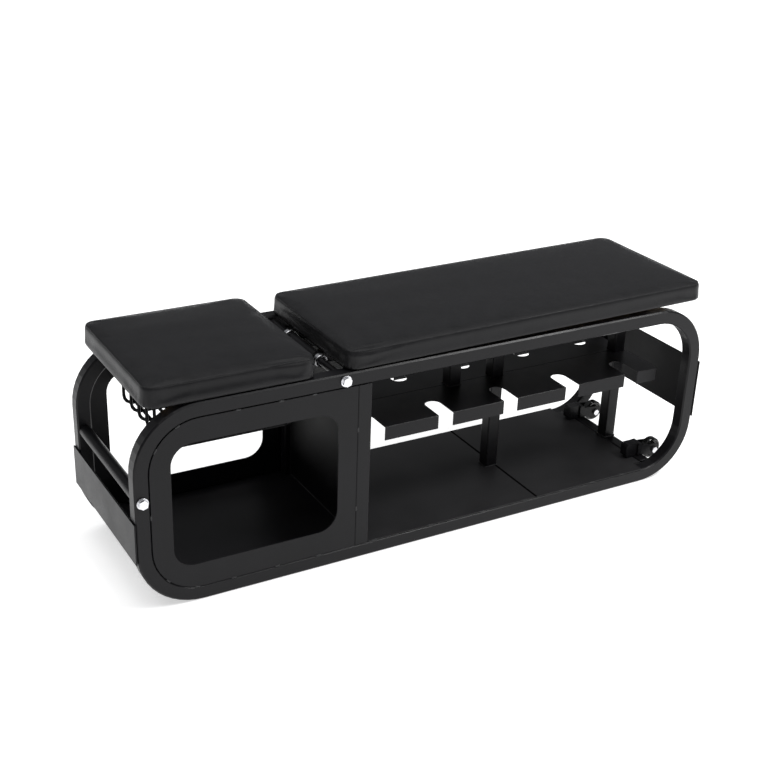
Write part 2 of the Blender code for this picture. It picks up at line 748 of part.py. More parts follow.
def back_strap(name, x):
    """Cross strap on the spine tubes, its top sloped to carry the rising board."""
    low = RAIL_Z[1] + GAP
    top = [(a, PAD_BOTTOM - GAP + BACK_RISE * (a - BACK_X[0])) for a in (x + 0.020, x - 0.020)]
    strap = extrude(name, "Y", [[(x - 0.020, low), (x + 0.020, low)] + top], -0.135, 0.135, frame_coat)
    set_origin(strap, (SHAFT_X, 0, SHAFT_Z))
    return strap


def back_parts():
    back_rail("back_rail_near", -1)
    back_rail("back_rail_far", 1)
    bore = SHAFT_R + 0.0004
    rings = [(-0.0520, bore), (-0.0520, 0.0120), (0.0520, 0.0120), (0.0520, bore)]
    sleeve = lathe_y("back_hinge_sleeve", rings, SHAFT_X, SHAFT_Z, frame_coat)
    set_origin(sleeve, (SHAFT_X, 0, SHAFT_Z))
    back_strap("back_cross_strap_left", -0.080)
    back_strap("back_cross_strap_right", 0.520)
    pin = rod_y("prop_pivot_pin", SHAFT_X + PROP_ARM, SHAFT_Z, 0.0050, -0.0545, 0.0545, zinc, 20)
    set_origin(pin, (SHAFT_X, 0, SHAFT_Z))
    board("back_board", BACK_X, BACK_RISE)
    cushion("back_cushion", BACK_X, BACK_THICK, BACK_RISE)


def prop_arm(name, side):
    """Flat bar from the pivot pin to the foot rod, eyes at both ends."""
    x0 = SHAFT_X + PROP_ARM
    x1 = x0 + PROP_ARM
    r = 0.0100
    outline = [(x1 + r * math.cos(math.radians(a)), SHAFT_Z + r * math.sin(math.radians(a)))
               for a in range(-90, 91, 18)]
    outline += [(x0 + r * math.cos(math.radians(a)), SHAFT_Z + r * math.sin(math.radians(a)))
                for a in range(90, 271, 18)]
    holes = [circle(x0, SHAFT_Z, 0.0054, 24), circle(x1, SHAFT_Z, FOOT_R + GAP, 24)]
    y0, y1 = sorted((side * PROP_Y, side * (PROP_Y + PROP_BAR)))
    arm = extrude(name, "Y", [outline] + holes, y0, y1, frame_coat)
    set_origin(arm, (x0, 0, SHAFT_Z))
    return arm


def prop_parts():
    prop_arm("prop_arm_near", -1)
    prop_arm("prop_arm_far", 1)
    half = PROP_Y + PROP_BAR + 0.0020
    x = SHAFT_X + 2 * PROP_ARM
    foot = rod_y("prop_foot_rod", x, SHAFT_Z, FOOT_R, -half, half, zinc, 24)
    set_origin(foot, (SHAFT_X + PROP_ARM, 0, SHAFT_Z))


# ---------------------------------------------------------------- assembly
def build():
    for obj in list(bpy.data.objects):
        bpy.data.objects.remove(obj)
    for word, side in (("near", -1), ("far", 1)):
        side_frame("side_frame_" + word, side)
        upright("upright_" + word, side)
        cubby_panel("cubby_panel_" + word, side)
        hex_bolt("handle_bolt_" + word, -LENGTH / 2 + TUBE / 2, HANDLE_Z, side, TUBE + 0.020)
        hex_bolt("shaft_bolt_" + word, SHAFT_X, SHAFT_Z, side, TUBE + 0.020)
        shaft_collar("shaft_collar_" + word, side)
        rack_shelf("rack_shelf_" + word, side)
        caster_bracket("caster_bracket_" + word, side)
        caster_axle("caster_axle_" + word, side)
        caster_wheel("caster_wheel_" + word, side)
    partition_wall()
    cubby_floor()
    end_plate("end_plate_left", -1, LEFT_PLATE_Z)
    end_plate("end_plate_right", 1, RIGHT_PLATE_Z)
    handle_tube()
    pivot_shaft()
    bay_floor("bay_floor_left", UPRIGHT_X[1] + GAP, FLOOR_SEAM_X - 0.0004)
    bend = LENGTH / 2 - CORNER_R
    bay_floor("bay_floor_right", FLOOR_SEAM_X + 0.0004, bend, CROSSBAR_X[0] - GAP - bend)
    floor_top = TUBE + GAP + SHEET
    post("rack_post_left", POST_1_X, floor_top + GAP, RACK_Z[0] - GAP)
    post("rack_post_right", POST_2_X, CROSSBAR_TOP + GAP, RACK_Z[0] - GAP)
    post("rack_stub_post", STUB_X, SHELF_TOP + GAP, RACK_Z[0] - GAP)
    incline_rack()
    shelf_end_angle()
    crossbar()
    wire_basket()
    basket_hanger("basket_hanger_left", BASKET_X[0] + 0.0442)
    basket_hanger("basket_hanger_right", BASKET_X[1] - 0.0442)
    seat_parts()
    back_parts()
    prop_parts()


build()
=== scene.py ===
"""Looks of the storage weight bench: coated steel, upholstered pads, welds and fixings."""
import bmesh
import bpy
import json
import math
import numpy as np
from mathutils import Matrix, Vector
from mathutils.bvhtree import BVHTree


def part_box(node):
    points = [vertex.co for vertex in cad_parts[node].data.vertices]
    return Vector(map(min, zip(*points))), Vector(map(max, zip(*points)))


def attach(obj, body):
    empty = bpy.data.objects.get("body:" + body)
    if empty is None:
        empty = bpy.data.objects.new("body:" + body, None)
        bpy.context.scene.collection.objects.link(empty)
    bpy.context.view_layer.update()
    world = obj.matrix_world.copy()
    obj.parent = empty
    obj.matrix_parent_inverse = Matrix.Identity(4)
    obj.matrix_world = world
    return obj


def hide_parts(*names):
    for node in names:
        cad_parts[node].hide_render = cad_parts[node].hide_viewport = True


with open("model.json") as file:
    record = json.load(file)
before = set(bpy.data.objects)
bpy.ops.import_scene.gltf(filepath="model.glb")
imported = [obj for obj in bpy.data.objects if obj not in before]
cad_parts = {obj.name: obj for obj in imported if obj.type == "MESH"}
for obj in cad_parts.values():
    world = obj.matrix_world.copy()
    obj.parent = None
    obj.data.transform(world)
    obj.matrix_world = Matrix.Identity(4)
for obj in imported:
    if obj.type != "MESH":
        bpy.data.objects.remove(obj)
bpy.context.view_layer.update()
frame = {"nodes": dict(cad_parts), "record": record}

NODES = frame["nodes"]

# Side frames: overall width, tube size, and the rounded seat end with its flush panel.
WIDTH = 0.360
TUBE = 0.030
INNER_HALF = WIDTH / 2 - TUBE
BEND_X = -0.540
BEND_Z = (0.130, 0.290)
PANEL_EDGE_RADIUS = 0.0995
CUBBY_CENTRE = (-0.425, 0.210)

# Pads: foam size, slope of the back pad, and how far each cover stands past its foam along +X.
PAD_BOTTOM = 0.4205
SEAT_THICK = 0.0500
BACK_THICK = 0.0467
BACK_RISE = 0.0115
SEAT_ENDS = (0.0, 0.005)
BACK_ENDS = (0.006, 0.006)

# Covers: plan corner, rolled top edge, room left for the air pressure, crown and foam dome.
PAD_CORNER = 0.026
PAD_EDGE = 0.0070
PAD_SLACK = 0.0016
PAD_CROWN = 0.0030
PAD_DOME = 0.0036
PUFF_LIMIT = 0.0022
VOXEL = 0.0042
BEVEL_HEIGHT = 0.0146
BEVEL_SLOPE = 1.43
CORD_DROP = 0.0085
CORD_RADIUS = 0.0011

# Underside: cover margin, staples and their places.
MARGIN_TOP = PAD_BOTTOM - 0.00005
MARGIN_FACE = PAD_BOTTOM - 0.00030
STAPLE_INSET = 0.0265
STAPLE_PITCH = 0.030
STAPLE_HALF = 0.005
PAD_BOLT_Y = 0.105

FLOOR_HALF = 60
FLOOR_GLOW = 0.56


# ---------------------------------------------------------------- material helpers
class Graph:
    """A small wrapper round one material's node tree."""

    def __init__(self, name, color, rough, metal=0.0, specular=0.5):
        self.mat = bpy.data.materials.new(name)
        self.mat.use_nodes = True
        self.tree = self.mat.node_tree
        self.shader = self.tree.nodes["Principled BSDF"]
        self.shader.inputs["Base Color"].default_value = (*color, 1.0)
        self.shader.inputs["Roughness"].default_value = rough
        self.shader.inputs["Metallic"].default_value = metal
        self.shader.inputs["Specular IOR Level"].default_value = specular
        self.where = self.tree.nodes.new("ShaderNodeTexCoord").outputs["Object"]

    def add(self, kind, **values):
        node = self.tree.nodes.new(kind)
        for key, value in values.items():
            if key in node.inputs:
                node.inputs[key].default_value = value
            else:
                setattr(node, key, value)
        return node

    def link(self, source, target):
        self.tree.links.new(source, target)

    def scaled(self, factors):
        node = self.add("ShaderNodeMapping")
        node.inputs["Scale"].default_value = factors
        self.link(self.where, node.inputs["Vector"])
        return node.outputs["Vector"]

    def noise(self, scale, detail=2.0, rough=0.5, vector=None, distortion=0.0):
        node = self.add("ShaderNodeTexNoise", Scale=scale, Detail=detail, Roughness=rough,
                        Distortion=distortion)
        self.link(vector or self.where, node.inputs["Vector"])
        return node.outputs["Fac"]

    def cells(self, scale, feature="F1", vector=None):
        node = self.add("ShaderNodeTexVoronoi", Scale=scale)
        node.feature = feature
        self.link(vector or self.where, node.inputs["Vector"])
        return node.outputs["Distance"]

    def ramp(self, source, low, high, low_value, high_value):
        node = self.add("ShaderNodeMapRange")
        limits = {"From Min": low, "From Max": high, "To Min": low_value, "To Max": high_value}
        for key, value in limits.items():
            node.inputs[key].default_value = value
        self.link(source, node.inputs["Value"])
        return node.outputs["Result"]

    def math(self, operation, a, b):
        node = self.add("ShaderNodeMath", operation=operation)
        for socket, value in zip(node.inputs, (a, b)):
            if isinstance(value, (int, float)):
                socket.default_value = value
            else:
                self.link(value, socket)
        return node.outputs["Value"]

    def tint(self, source, dark, light, low=0.3, high=0.7):
        """Base colour running between two colours."""
        node = self.add("ShaderNodeValToRGB")
        node.color_ramp.elements[0].position = low
        node.color_ramp.elements[0].color = (*dark, 1.0)
        node.color_ramp.elements[1].position = high
        node.color_ramp.elements[1].color = (*light, 1.0)
        self.link(source, node.inputs["Fac"])
        self.link(node.outputs["Color"], self.shader.inputs["Base Color"])
        return node.outputs["Color"]

    def bump(self, layers):
        """Stacked bumps: each layer is (height, distance in metres, strength)."""
        normal = None
        for height, distance, strength in layers:
            node = self.add("ShaderNodeBump", Strength=strength, Distance=distance)
            self.link(height, node.inputs["Height"])
            if normal:
                self.link(normal, node.inputs["Normal"])
            normal = node.outputs["Normal"]
        self.link(normal, self.shader.inputs["Normal"])


def powder_coat(name, color, rough, grain=1.0, specular=0.19):
    """Satin powder coat: fine orange peel, slow changes of sheen, a few dust specks."""
    g = Graph(name, color, rough, specular=specular)
    peel = g.noise(620.0, 3.0, 0.55)
    drift = g.noise(9.0, 3.0, 0.6)
    speck = g.cells(210.0)
    dark = tuple(0.82 * c for c in color)
    light = tuple(1.25 * c for c in color)
    g.tint(drift, dark, light)
    base = g.ramp(drift, 0.3, 0.7, rough - 0.05, rough + 0.05)
    fine = g.ramp(peel, 0.3, 0.7, -0.04, 0.04)
    g.link(g.math("ADD", base, fine), g.shader.inputs["Roughness"])
    g.bump([(peel, 0.00035, 0.35 * grain), (g.ramp(speck, 0.0, 0.12, 1.0, 0.0), 0.0001, 0.15 * grain)])
    return g.mat


def leatherette(name):
    """Black upholstery vinyl: pebbled grain with fine creases between the pebbles."""
    g = Graph(name, (0.010, 0.010, 0.011), 0.34, specular=0.16)
    warped = g.scaled((1.0, 1.15, 1.0))
    pebble = g.cells(780.0, "SMOOTH_F1", warped)
    crack = g.cells(520.0, "DISTANCE_TO_EDGE", warped)
    soft = g.noise(26.0, 3.0, 0.55)
    micro = g.noise(1500.0, 2.0, 0.6)
    g.tint(soft, (0.0082, 0.0081, 0.0088), (0.0116, 0.0114, 0.0124))
    base = g.ramp(soft, 0.3, 0.7, 0.29, 0.38)
    pits = g.ramp(crack, 0.0, 0.10, 0.10, 0.0)
    g.link(g.math("ADD", base, pits), g.shader.inputs["Roughness"])
    groove = g.ramp(crack, 0.0, 0.16, 0.0, 1.0)
    g.bump([(soft, 0.0012, 0.10), (pebble, 0.00025, 0.30), (groove, 0.00018, 0.32), (micro, 0.00008, 0.25)])
    g.shader.inputs["Sheen Weight"].default_value = 0.02
    g.shader.inputs["Sheen Roughness"].default_value = 0.5
    return g.mat


def zinc(name):
    """Bright zinc plate: faint spangle and light turning marks."""
    g = Graph(name, (0.66, 0.67, 0.70), 0.24, 1.0)
    spangle = g.cells(300.0)
    fine = g.noise(900.0, 2.0, 0.6)
    g.tint(spangle, (0.56, 0.57, 0.60), (0.78, 0.78, 0.80), 0.05, 0.6)
    g.link(g.ramp(fine, 0.3, 0.7, 0.18, 0.34), g.shader.inputs["Roughness"])
    g.bump([(fine, 0.00006, 0.3)])
    return g.mat


def gloss_black(name):
    """Moulded glossy wheel with a little scuffing."""
    g = Graph(name, (0.010, 0.010, 0.010), 0.16, specular=0.5)
    scuff = g.noise(140.0, 4.0, 0.65, g.scaled((1.0, 3.0, 1.0)))
    g.link(g.ramp(scuff, 0.45, 0.75, 0.12, 0.30), g.shader.inputs["Roughness"])
    g.tint(scuff, (0.008, 0.008, 0.008), (0.016, 0.016, 0.016), 0.4, 0.8)
    g.bump([(scuff, 0.00008, 0.2)])
    return g.mat


def plywood(name):
    """Poplar plywood: long grain on the face, thin dark glue lines at the edge."""
    g = Graph(name, (0.36, 0.25, 0.14), 0.74)
    grain = g.noise(40.0, 5.0, 0.6, g.scaled((0.9, 9.0, 1.0)), 0.6)
    plies = g.add("ShaderNodeTexWave", Scale=110.0, Distortion=0.4)
    plies.bands_direction = "Z"
    g.link(g.where, plies.inputs["Vector"])
    mixed = g.math("ADD", g.math("MULTIPLY", grain, 0.8), g.math("MULTIPLY", plies.outputs["Fac"], 0.15))
    g.tint(mixed, (0.21, 0.13, 0.065), (0.46, 0.33, 0.19), 0.35, 0.68)
    g.link(g.ramp(grain, 0.3, 0.7, 0.66, 0.84), g.shader.inputs["Roughness"])
    g.bump([(grain, 0.0003, 0.4)])
    return g.mat


def weld_metal(name):
    """Coated weld: the same black paint over the ripples of the bead, a touch glossier."""
    g = Graph(name, (0.012, 0.012, 0.013), 0.34, specular=0.35)
    fine = g.noise(1400.0, 2.0, 0.6)
    g.tint(fine, (0.009, 0.009, 0.010), (0.018, 0.018, 0.019))
    g.link(g.ramp(fine, 0.3, 0.7, 0.26, 0.40), g.shader.inputs["Roughness"])
    g.bump([(fine, 0.00008, 0.4)])
    return g.mat


def painted_joint_shade(name):
    """Painted shade for joint gaps: matt black with no specular, standing in for the shadow deep in a
    joint.
    """
    g = Graph(name, (0.0016, 0.0016, 0.0017), 0.80, specular=0.0)
    fine = g.noise(500.0, 2.0, 0.6)
    g.tint(fine, (0.0012, 0.0012, 0.0013), (0.0020, 0.0020, 0.0021))
    g.bump([(fine, 0.0002, 0.3)])
    return g.mat


def plain_floor(name):
    g = Graph(name, (0.86, 0.86, 0.86), 0.80, specular=0.1)
    g.tint(g.noise(3.0), (0.855, 0.855, 0.855), (0.865, 0.865, 0.865))
    g.shader.inputs["Emission Color"].default_value = (1.0, 1.0, 1.0, 1.0)
    g.shader.inputs["Emission Strength"].default_value = FLOOR_GLOW
    return g.mat


MATERIALS = {
    "frame_coat": powder_coat("frame_coat_look", (0.0062, 0.0060, 0.0069), 0.34),
    "sheet_coat": powder_coat("sheet_coat_look", (0.0060, 0.0058, 0.0067), 0.38, 0.8),
    "wire_coat": powder_coat("wire_coat_look", (0.0026, 0.0026, 0.0028), 0.40, 0.6, 0.08),
    "leatherette": leatherette("leatherette_look"),
    "plywood": plywood("plywood_look"),
    "zinc": zinc("zinc_look"),
    "wheel_black": gloss_black("wheel_black_look"),
    "weld": weld_metal("weld_look"),
    # Painted light: a lighter copy of the sheet coat for the bay floors, for the light they catch from the
    # open sides.
    "painted_light_sheet": powder_coat("painted_light_sheet_look", (0.0190, 0.0186, 0.0195), 0.46, 0.8),
    # Painted shade: a darker copy of the sheet coat for the right end plate and the partition wall, which
    # sit in shade.
    "painted_dark_sheet": powder_coat("painted_dark_sheet_look", (0.0040, 0.0039, 0.0044), 0.55, 0.8),
    # Painted shade: near-black with no specular, for the strips that darken joint gaps.
    "gap_shade": painted_joint_shade("painted_joint_shade_look"),
}


# ---------------------------------------------------------------- mesh helpers
def piece(name, verts, faces, look, body, smooth=True):
    """One visible mesh with a look, carried by a body and filed under a material slot."""
    mesh = bpy.data.meshes.new(name)
    mesh.from_pydata([tuple(v) for v in verts], [], faces)
    mesh.validate()
    obj = bpy.data.objects.new(name, mesh)
    bpy.context.scene.collection.objects.link(obj)
    bm = bmesh.new()
    bm.from_mesh(mesh)
    bmesh.ops.recalc_face_normals(bm, faces=bm.faces)
    bm.to_mesh(mesh)
    bm.free()
    mesh.materials.append(MATERIALS[look])
    if smooth:
        mesh.shade_smooth()
    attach(obj, body)
    return obj


def soften(obj, width, segments=2, limit=35):
    """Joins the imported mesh's split edges and eases its sharp ones, as the coating does."""
    weld = obj.modifiers.new("join", "WELD")
    weld.merge_threshold = 0.000002
    edge = obj.modifiers.new("ease", "BEVEL")
    edge.width = width
    edge.segments = segments
    edge.limit_method = "ANGLE"
    edge.angle_limit = math.radians(limit)
    edge.harden_normals = True
    edge.use_clamp_overlap = True


def rounded(x0, x1, y0, y1, radius, steps):
    """Outline of a rectangle with round corners, starting at its far right corner."""
    points = []
    for cx, cy, start in ((x1 - radius, y1 - radius, 0), (x0 + radius, y1 - radius, 90),
                          (x0 + radius, y0 + radius, 180), (x1 - radius, y0 + radius, 270)):
        for k in range(steps + 1):
            turn = math.radians(start + 90 * k / steps)
            points.append((cx + radius * math.cos(turn), cy + radius * math.sin(turn)))
    return points


def get_points(obj):
    flat = np.zeros(len(obj.data.vertices) * 3)
    obj.data.vertices.foreach_get("co", flat)
    return flat.reshape(-1, 3)


def set_points(obj, points):
    obj.data.vertices.foreach_set("co", np.ascontiguousarray(points, dtype=np.float32).ravel())
    obj.data.update()


def get_normals(obj):
    flat = np.zeros(len(obj.data.vertices) * 3)
    obj.data.vertices.foreach_get("normal", flat)
    return flat.reshape(-1, 3)


# ---------------------------------------------------------------- coated and plated CAD parts
EASE = {"frame_coat": 0.0008, "sheet_coat": 0.0005, "zinc": 0.0004, "wheel_black": 0.0005,
        "plywood": 0.0004}
# Painted light and shade: the bay floors take the lighter copy of the sheet coat, and the right end plate
# and the partition wall take the darker one.
SHEET_LOOKS = {"bay_floor_left": "painted_light_sheet", "bay_floor_right": "painted_light_sheet",
               "end_plate_right": "painted_dark_sheet", "partition_wall": "painted_dark_sheet"}


def dress_cad():
    """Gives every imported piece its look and, where it is hard, an eased edge."""
    slot_of = {row["node"]: row["material_slot"] for row in frame["record"]["subparts"]}
    for name, obj in NODES.items():
        slot = slot_of[name]
        obj.data.materials.clear()
        # Sheets named in SHEET_LOOKS get the painted light or painted shade copy instead of their slot's
        # look.
        obj.data.materials.append(MATERIALS[SHEET_LOOKS.get(name, slot)])
        if slot in EASE:
            soften(obj, EASE[slot])


# ---------------------------------------------------------------- cushions
def pad_blank(x0, x1, half, z0, z1):
    """Closed slab with rolled top edges, the shape the cover is stretched over."""
    rings = [(0.005, z0), (0.0015, z0 + 0.0008), (0.0, z0 + 0.0040)]
    for k in range(7):
        turn = math.radians(90 * k / 6)
        rings.append((PAD_EDGE * (1 - math.cos(turn)), z1 - PAD_EDGE + PAD_EDGE * math.sin(turn)))
    verts = []
    faces = []
    for inset, z in rings:
        corner = max(PAD_CORNER - inset, 0.004)
        loop = rounded(x0 + inset, x1 - inset, -half + inset, half - inset, corner, 8)
        verts += [(p[0], p[1], z) for p in loop]
    size = len(verts) // len(rings)
    for r in range(len(rings) - 1):
        for k in range(size):
            m = (k + 1) % size
            faces.append((r * size + k, r * size + m, (r + 1) * size + m, (r + 1) * size + k))
    faces.append(tuple(reversed(range(size))))
    faces.append(tuple(range((len(rings) - 1) * size, len(rings) * size)))
    return verts, faces


def apply_modifiers(obj):
    graph = bpy.context.evaluated_depsgraph_get()
    mesh = bpy.data.meshes.new_from_object(obj.evaluated_get(graph))
    obj.modifiers.clear()
    obj.data = mesh


def remesh(obj, voxel):
    step = obj.modifiers.new("voxels", "REMESH")
    step.mode = "VOXEL"
    step.voxel_size = voxel
    step.use_smooth_shade = True
    apply_modifiers(obj)


def inflate(obj, z0, cap):
    """Cloth under air pressure over the foam, held where it is stapled below, then capped."""
    rest = get_points(obj)
    group = obj.vertex_groups.new(name="held")
    group.add([int(i) for i in np.nonzero(rest[:, 2] < z0 + 0.004)[0]], 1.0, "REPLACE")
    cloth = obj.modifiers.new("cover", "CLOTH")
    settings = cloth.settings
    settings.quality = 6
    settings.mass = 0.3
    settings.tension_stiffness = 15
    settings.compression_stiffness = 15
    settings.bending_stiffness = 0.8
    settings.use_pressure = True
    settings.uniform_pressure_force = 4
    settings.effector_weights.gravity = 0
    settings.vertex_group_mass = "held"
    cloth.collision_settings.use_collision = False
    cloth.collision_settings.use_self_collision = False
    cloth.point_cache.frame_start = 1
    cloth.point_cache.frame_end = 20
    for step in range(1, 21):
        bpy.context.scene.frame_set(step)
    graph = bpy.context.evaluated_depsgraph_get()
    shape = obj.evaluated_get(graph).data
    flat = np.zeros(len(shape.vertices) * 3)
    shape.vertices.foreach_get("co", flat)
    obj.modifiers.clear()
    bpy.context.scene.frame_set(1)
    move = flat.reshape(-1, 3) - rest
    length = np.linalg.norm(move, axis=1)
    capped = cap * np.tanh(length / cap)
    set_points(obj, rest + move * (capped / np.maximum(length, 1e-9))[:, None])


def relax(obj, rounds):
    bm = bmesh.new()
    bm.from_mesh(obj.data)
    for _ in range(rounds):
        bmesh.ops.smooth_vert(bm, verts=bm.verts, factor=0.5,
                              use_axis_x=True, use_axis_y=True, use_axis_z=True)
    bm.to_mesh(obj.data)
    bm.free()


def fit_to(obj, x0, x1, half, z0, z1):
    """Scales the simulated pad back into the space that its foam takes."""
    points = get_points(obj)
    low = points.min(axis=0)
    high = points.max(axis=0)
    goal_low = np.array([x0, -half, z0])
    goal_high = np.array([x1, half, z1])
    set_points(obj, goal_low + (points - low) / (high - low) * (goal_high - goal_low))


def smooth_noise(points, scale, seed, stretch=(1, 1, 1)):
    """Sum of a few fixed plane waves: a soft, repeatable undulation between -1 and 1."""
    rng = np.random.default_rng(seed)
    total = np.zeros(len(points))
    p = points * np.array(stretch)
    for _ in range(9):
        direction = rng.normal(size=3)
        direction /= np.linalg.norm(direction)
        waves = 2 * math.pi / (scale * rng.uniform(0.6, 1.6))
        total += np.sin(p @ direction * waves + rng.uniform(0, 6.28))
    return total / 4.5


def crease(points, normals, path, depth, width):
    """A pulled fold: a groove along the path with a low roll beside it."""
    best = np.full(len(points), 1e9)
    along = np.zeros(len(points))
    side = np.zeros(len(points))
    path = [np.array(p, float) for p in path]
    total = sum(np.linalg.norm(b - a) for a, b in zip(path, path[1:]))
    start = 0.0
    for a, b in zip(path, path[1:]):
        run = b - a
        size = np.linalg.norm(run)
        t = np.clip((points - a) @ run / size ** 2, 0, 1)
        near = a + t[:, None] * run
        gap = np.linalg.norm(points - near, axis=1)
        across = np.cross(run / size, normals)
        closer = gap < best
        best = np.where(closer, gap, best)
        along = np.where(closer, (start + t * size) / total, along)
        side = np.where(closer, np.einsum("ij,ij->i", points - near, across), side)
        start += size
    fade = np.clip(np.sin(math.pi * np.clip(along, 0.02, 0.98)), 0, 1) ** 0.7
    groove = -np.exp(-(side / width) ** 2) * (best < 4 * width)
    roll = 0.65 * np.exp(-((side - 1.9 * width) / (1.2 * width)) ** 2) * (best < 6 * width)
    return points + normals * (depth * fade * (groove + roll))[:, None]


def tuck_corners(points, normals, x0, x1, half, z0, z1):
    """Small pleats where the cover is gathered under each corner."""
    shift = np.zeros(len(points))
    left, right = x0 + PAD_CORNER, x1 - PAD_CORNER
    near, far = -half + PAD_CORNER, half - PAD_CORNER
    for cx, cy, sx, sy in ((left, near, -1, -1), (right, near, 1, -1),
                           (right, far, 1, 1), (left, far, -1, 1)):
        dx = (points[:, 0] - cx) * sx
        dy = (points[:, 1] - cy) * sy
        inside = (dx > -0.004) & (dy > -0.004)
        angle = np.arctan2(np.maximum(dy, 0), np.maximum(dx, 0))
        low = np.clip(1 - (points[:, 2] - z0) / (0.62 * (z1 - z0)), 0, 1) ** 1.3
        window = np.sin(np.clip(angle, 0, math.pi / 2) * 2) ** 0.6
        waves = np.cos(angle * 14 + cx * 40) + 0.45 * np.cos(angle * 25 + cy * 30)
        shift += np.where(inside, 0.00055 * low * window * waves, 0)
    flat = np.abs(normals[:, 2]) < 0.75
    return points + normals * (shift * flat)[:, None]


def dome(points, x0, x1, half, z0, z1):
    """Foam crown: highest in the middle, falling off faster towards the edges."""
    u = np.abs((points[:, 0] - (x0 + x1) / 2) / ((x1 - x0) / 2))
    v = np.abs(points[:, 1] / half)
    ends = 1 - np.clip(u, 0, 1) ** (3.0 * (x1 - x0) / (2 * half))
    sides = 1 - np.clip(v, 0, 1) ** 3.0
    lift = np.clip((points[:, 2] - z0) / (z1 - z0), 0, 1)
    points[:, 2] += PAD_DOME * (ends * sides - 0.5 * (1 - ends * sides)) * lift ** 2
    return points


def close_set(loop, spacing):
    """The same closed outline with extra points, so that none are further apart than the spacing."""
    outline = []
    for a, b in zip(loop, loop[1:] + loop[:1]):
        steps = max(1, int(math.dist(a, b) / spacing))
        for k in range(steps):
            outline.append((a[0] + (b[0] - a[0]) * k / steps, a[1] + (b[1] - a[1]) * k / steps))
    return outline


def seam_cord(name, pad, body, x0, x1, half, height, rise):
    """The sewn seam of top and side cover: a thin raised line laid on the finished pad."""
    points = get_points(pad)
    polygons = [tuple(face.vertices) for face in pad.data.polygons]
    tree = BVHTree.FromPolygons([Vector(p) for p in points], polygons)
    outline = close_set(rounded(x0, x1, -half, half, PAD_CORNER, 16), 0.006)
    centres = []
    sides = []
    count = len(outline)
    for k in range(count):
        before, after = Vector(outline[k - 1]), Vector(outline[(k + 1) % count])
        along = (after - before).normalized()
        out = Vector((along.y, -along.x, 0))
        x, y = outline[k]
        start = Vector((x, y, height + rise * (x - x0))) + out * 0.02
        hit = tree.ray_cast(start, -out, 0.05)[0]
        centres.append((hit or start - out * 0.02) - out * 0.0003)
        sides.append(out)
    verts = []
    faces = []
    ring = 8
    for centre, out in zip(centres, sides):
        for k in range(ring):
            turn = 2 * math.pi * k / ring
            spoke = math.cos(turn) * out + math.sin(turn) * Vector((0, 0, 1))
            verts.append(centre + CORD_RADIUS * spoke)
    for i in range(count):
        j = (i + 1) % count
        for k in range(ring):
            m = (k + 1) % ring
            faces.append((i * ring + k, i * ring + m, j * ring + m, j * ring + k))
    piece(name, verts, faces, "leatherette", body)


def make_pad(name, node, body, thick, rise, ends, creases, seed):
    """One upholstered pad, made level and then sheared to the slope of its board."""
    low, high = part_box(node)
    x0, x1, half = low[0] + ends[0], high[0] + ends[1], high[1]
    z0, z1 = PAD_BOTTOM, PAD_BOTTOM + thick
    verts, faces = pad_blank(x0 + PAD_SLACK, x1 - PAD_SLACK, half - PAD_SLACK, z0, z1 - PAD_CROWN)
    pad = piece(name, verts, faces, "leatherette", body)
    remesh(pad, VOXEL)
    inflate(pad, z0, PUFF_LIMIT)
    relax(pad, 1)
    fit_to(pad, x0, x1, half, z0, z1 - PAD_CROWN + 0.0004)
    split = pad.modifiers.new("finer", "SUBSURF")
    split.levels = 1
    split.render_levels = 1
    apply_modifiers(pad)
    if len(pad.data.materials) == 0:
        pad.data.materials.append(MATERIALS["leatherette"])
    pad.data.shade_smooth()
    points = get_points(pad)
    normals = get_normals(pad)
    wave = smooth_noise(points, 0.11, seed, (0.5, 1.0, 1.6))
    up = np.clip((points[:, 2] - z0) / 0.02, 0, 1)
    points = points + normals * (0.00035 * wave * up)[:, None]
    points = tuck_corners(points, normals, x0, x1, half, z0, z1)
    for path, depth, width in creases:
        points = crease(points, normals, path, depth, width)
    points = dome(points, x0, x1, half, z0, z1)
    points[:, 2] = np.maximum(points[:, 2], z0)
    points[:, 0] = np.clip(points[:, 0], x0 - 0.0006, x1 + 0.0006)
    points[:, 2] += rise * (points[:, 0] - low[0])
    if rise:
        bevel = z0 + BEVEL_HEIGHT - BEVEL_SLOPE * (points[:, 0] - low[0])
        points[:, 2] = np.maximum(points[:, 2], bevel)
    set_points(pad, points)
    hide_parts(node)
    seam_cord(name + "_seam", pad, body, x0, x1, half, z1 - CORD_DROP, rise)


def cushions():
    """Both pads, each with a few pulled folds by the hinge on its near side."""
    seat_low, seat_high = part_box("seat_cushion")
    back_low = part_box("back_cushion")[0]
    sr, sn, top = seat_high[0] + SEAT_ENDS[1], seat_low[1], PAD_BOTTOM + SEAT_THICK
    seat_creases = [
        ([(sr - 0.004, sn + 0.010, top - 0.012), (sr - 0.040, sn + 0.001, top - 0.013),
          (sr - 0.105, sn + 0.002, top - 0.009)], 0.0011, 0.0032),
        ([(sr - 0.002, sn + 0.030, top - 0.010), (sr - 0.014, sn + 0.006, top - 0.004),
          (sr - 0.060, sn + 0.008, top - 0.001), (sr - 0.120, sn + 0.012, top)], 0.0009, 0.0040),
    ]
    bl, bn, top = back_low[0] + BACK_ENDS[0], back_low[1], PAD_BOTTOM + BACK_THICK
    back_creases = [
        ([(bl + 0.002, bn + 0.050, top - 0.012), (bl + 0.008, bn + 0.010, top - 0.010),
          (bl + 0.050, bn + 0.001, top - 0.012), (bl + 0.130, bn + 0.002, top - 0.008)], 0.0012, 0.0036),
        ([(bl + 0.006, bn + 0.060, top - 0.001), (bl + 0.016, bn + 0.014, top - 0.002),
          (bl + 0.090, bn + 0.009, top)], 0.0009, 0.0040),
    ]
    make_pad("seat_pad_cover", "seat_cushion", "seat", SEAT_THICK, 0.0, SEAT_ENDS, seat_creases, 3)
    make_pad("back_pad_cover", "back_cushion", "backrest", BACK_THICK, BACK_RISE, BACK_ENDS,
             back_creases, 8)


